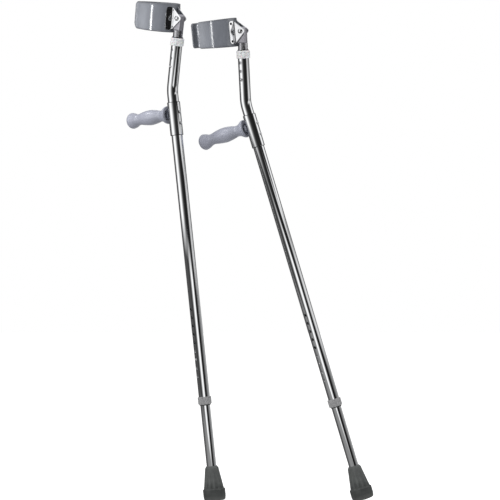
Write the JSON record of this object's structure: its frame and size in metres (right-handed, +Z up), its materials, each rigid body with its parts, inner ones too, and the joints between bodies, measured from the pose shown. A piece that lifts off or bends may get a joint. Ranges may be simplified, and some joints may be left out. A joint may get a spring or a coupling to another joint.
{
  "type": "forearm crutches",
  "caption": "Polished tubular forearm crutches with hinged open arm cuffs, moulded hand grips, snap-button height setting and flared rubber tips.",
  "frame": {"origin": "middle of the pair's box, on the floor that both tips touch", "axes": "+Z up, +X from the left crutch to the right one, along which both lean, -Y the side that the snap buttons face"},
  "size_m": [0.564, 0.1492, 1.1349],
  "materials": {
    "chrome_tube": "polished plated steel tube",
    "chrome_plate": "polished plated steel plate and fasteners",
    "grip_vinyl": "satin moulded vinyl",
    "cuff_vinyl": "glossy dipped vinyl",
    "tip_rubber": "matt moulded rubber",
    "collar_clear": "milky translucent nylon",
    "collar_grey": "grained grey nylon",
    "button_steel": "bright steel",
    "spring_steel": "plain spring steel",
    "yoke_steel": "satin plated steel",
    "nylon": "natural nylon"
  },
  "bodies": {
    "left_frame": {"left_main_tube": "chrome_tube", "left_grip_sleeve": "chrome_tube", "left_grip_bar": "chrome_tube", "left_hand_grip": "grip_vinyl", "left_grip_rivets": "chrome_plate", "left_lower_wedge_ring": "nylon", "left_upper_wedge_ring": "nylon"},
    "left_leg": {"left_lower_tube": "chrome_tube", "left_lower_spring_clip": "spring_steel", "left_rubber_tip": "tip_rubber", "left_tip_washer": "spring_steel"},
    "left_leg_button": {"left_lower_button": "button_steel"},
    "left_head": {"left_upper_tube": "chrome_tube", "left_upper_spring_clip": "spring_steel", "left_yoke": "yoke_steel", "left_yoke_pin": "yoke_steel"},
    "left_head_button": {"left_upper_button": "button_steel"},
    "left_cuff": {"left_cuff_cover": "cuff_vinyl", "left_cuff_core": "spring_steel", "left_cuff_bracket_outer": "chrome_plate", "left_cuff_bracket_inner": "chrome_plate", "left_cuff_rivets": "chrome_plate", "left_pivot_bolt": "chrome_plate", "left_pivot_nut": "chrome_plate", "left_pivot_washers": "nylon"},
    "left_leg_collar": {"left_lower_collar": "collar_grey"},
    "left_head_collar": {"left_upper_collar": "collar_clear"},
    "right_frame": {"right_main_tube": "chrome_tube", "right_grip_sleeve": "chrome_tube", "right_grip_bar": "chrome_tube", "right_hand_grip": "grip_vinyl", "right_grip_rivets": "chrome_plate", "right_lower_wedge_ring": "nylon", "right_upper_wedge_ring": "nylon"},
    "right_leg": {"right_lower_tube": "chrome_tube", "right_lower_spring_clip": "spring_steel", "right_rubber_tip": "tip_rubber", "right_tip_washer": "spring_steel"},
    "right_leg_button": {"right_lower_button": "button_steel"},
    "right_head": {"right_upper_tube": "chrome_tube", "right_upper_spring_clip": "spring_steel", "right_yoke": "yoke_steel", "right_yoke_pin": "yoke_steel"},
    "right_head_button": {"right_upper_button": "button_steel"},
    "right_cuff": {"right_cuff_cover": "cuff_vinyl", "right_cuff_core": "spring_steel", "right_cuff_bracket_outer": "chrome_plate", "right_cuff_bracket_inner": "chrome_plate", "right_cuff_rivets": "chrome_plate", "right_pivot_bolt": "chrome_plate", "right_pivot_nut": "chrome_plate", "right_pivot_washers": "nylon"},
    "right_leg_collar": {"right_lower_collar": "collar_grey"},
    "right_head_collar": {"right_upper_collar": "collar_clear"}
  },
  "joints": [
    {"name": "left_lower_slide", "type": "slide", "parent": "left_frame", "child": "left_leg", "axis": [-0.1037, 0, 0.9946], "range_m": [-0.0381, 0.1143], "deforming": ["left_lower_button", "left_lower_spring_clip"]},
    {"name": "left_lower_button_press", "type": "slide", "parent": "left_leg", "child": "left_leg_button", "axis": [0.7495, 0.6574, 0.0781], "range_m": [0, 0.004], "stiffness_N_per_m": 600, "springref_m": -0.003, "deforming": ["left_lower_spring_clip"]},
    {"name": "left_lower_collar_turn", "type": "hinge", "parent": "left_frame", "child": "left_leg_collar", "pos_m": [-0.09907, -0.02266, 0.22285], "axis": [-0.1037, 0, 0.9946], "range_deg": [0, 180]},
    {"name": "left_upper_slide", "type": "slide", "parent": "left_frame", "child": "left_head", "axis": [0.1056, -0.1668, 0.9803], "range_m": [0, 0.0381], "deforming": ["left_upper_button", "left_upper_spring_clip"]},
    {"name": "left_upper_button_press", "type": "slide", "parent": "left_head", "child": "left_head_button", "axis": [0.7495, 0.6613, 0.0317], "range_m": [0, 0.004], "stiffness_N_per_m": 600, "springref_m": -0.003, "deforming": ["left_upper_spring_clip"]},
    {"name": "left_upper_collar_turn", "type": "hinge", "parent": "left_frame", "child": "left_head_collar", "pos_m": [-0.16046, -0.0418, 1.04078], "axis": [0.1056, -0.1668, 0.9803], "range_deg": [0, 180]},
    {"name": "left_cuff_tilt", "type": "hinge", "parent": "left_head", "child": "left_cuff", "pos_m": [-0.15543, -0.04976, 1.08754], "axis": [0.6246, 0.7782, 0.0651], "range_deg": [-5, 25]},
    {"name": "right_lower_slide", "type": "slide", "parent": "right_frame", "child": "right_leg", "axis": [-0.2857, 0, 0.9583], "range_m": [-0.0381, 0.1143], "deforming": ["right_lower_button", "right_lower_spring_clip"]},
    {"name": "right_lower_button_press", "type": "slide", "parent": "right_leg", "child": "right_leg_button", "axis": [0.5741, 0.8007, 0.1711], "range_m": [0, 0.004], "stiffness_N_per_m": 600, "springref_m": -0.003, "deforming": ["right_lower_spring_clip"]},
    {"name": "right_lower_collar_turn", "type": "hinge", "parent": "right_frame", "child": "right_leg_collar", "pos_m": [0.19556, -0.02996, 0.21876], "axis": [-0.2857, 0, 0.9583], "range_deg": [0, 180]},
    {"name": "right_upper_slide", "type": "slide", "parent": "right_frame", "child": "right_head", "axis": [-0.0483, -0.1197, 0.9916], "range_m": [0, 0.0381], "deforming": ["right_upper_button", "right_upper_spring_clip"]},
    {"name": "right_upper_button_press", "type": "slide", "parent": "right_head", "child": "right_head_button", "axis": [0.5819, 0.8035, 0.1254], "range_m": [0, 0.004], "stiffness_N_per_m": 600, "springref_m": -0.003, "deforming": ["right_upper_spring_clip"]},
    {"name": "right_upper_collar_turn", "type": "hinge", "parent": "right_frame", "child": "right_head_collar", "pos_m": [-0.0126, -0.0437, 1.01224], "axis": [-0.0483, -0.1197, 0.9916], "range_deg": [0, 180]},
    {"name": "right_cuff_tilt", "type": "hinge", "parent": "right_head", "child": "right_cuff", "pos_m": [-0.0149, -0.04941, 1.05954], "axis": [0.4321, 0.8926, 0.1288], "range_deg": [-5, 25]},
    {"name": "right_crutch_lift", "type": "slide", "parent": "left_frame", "child": "right_frame", "axis": [0, 0, 1], "range_m": [0, 0.25]}
  ]
}
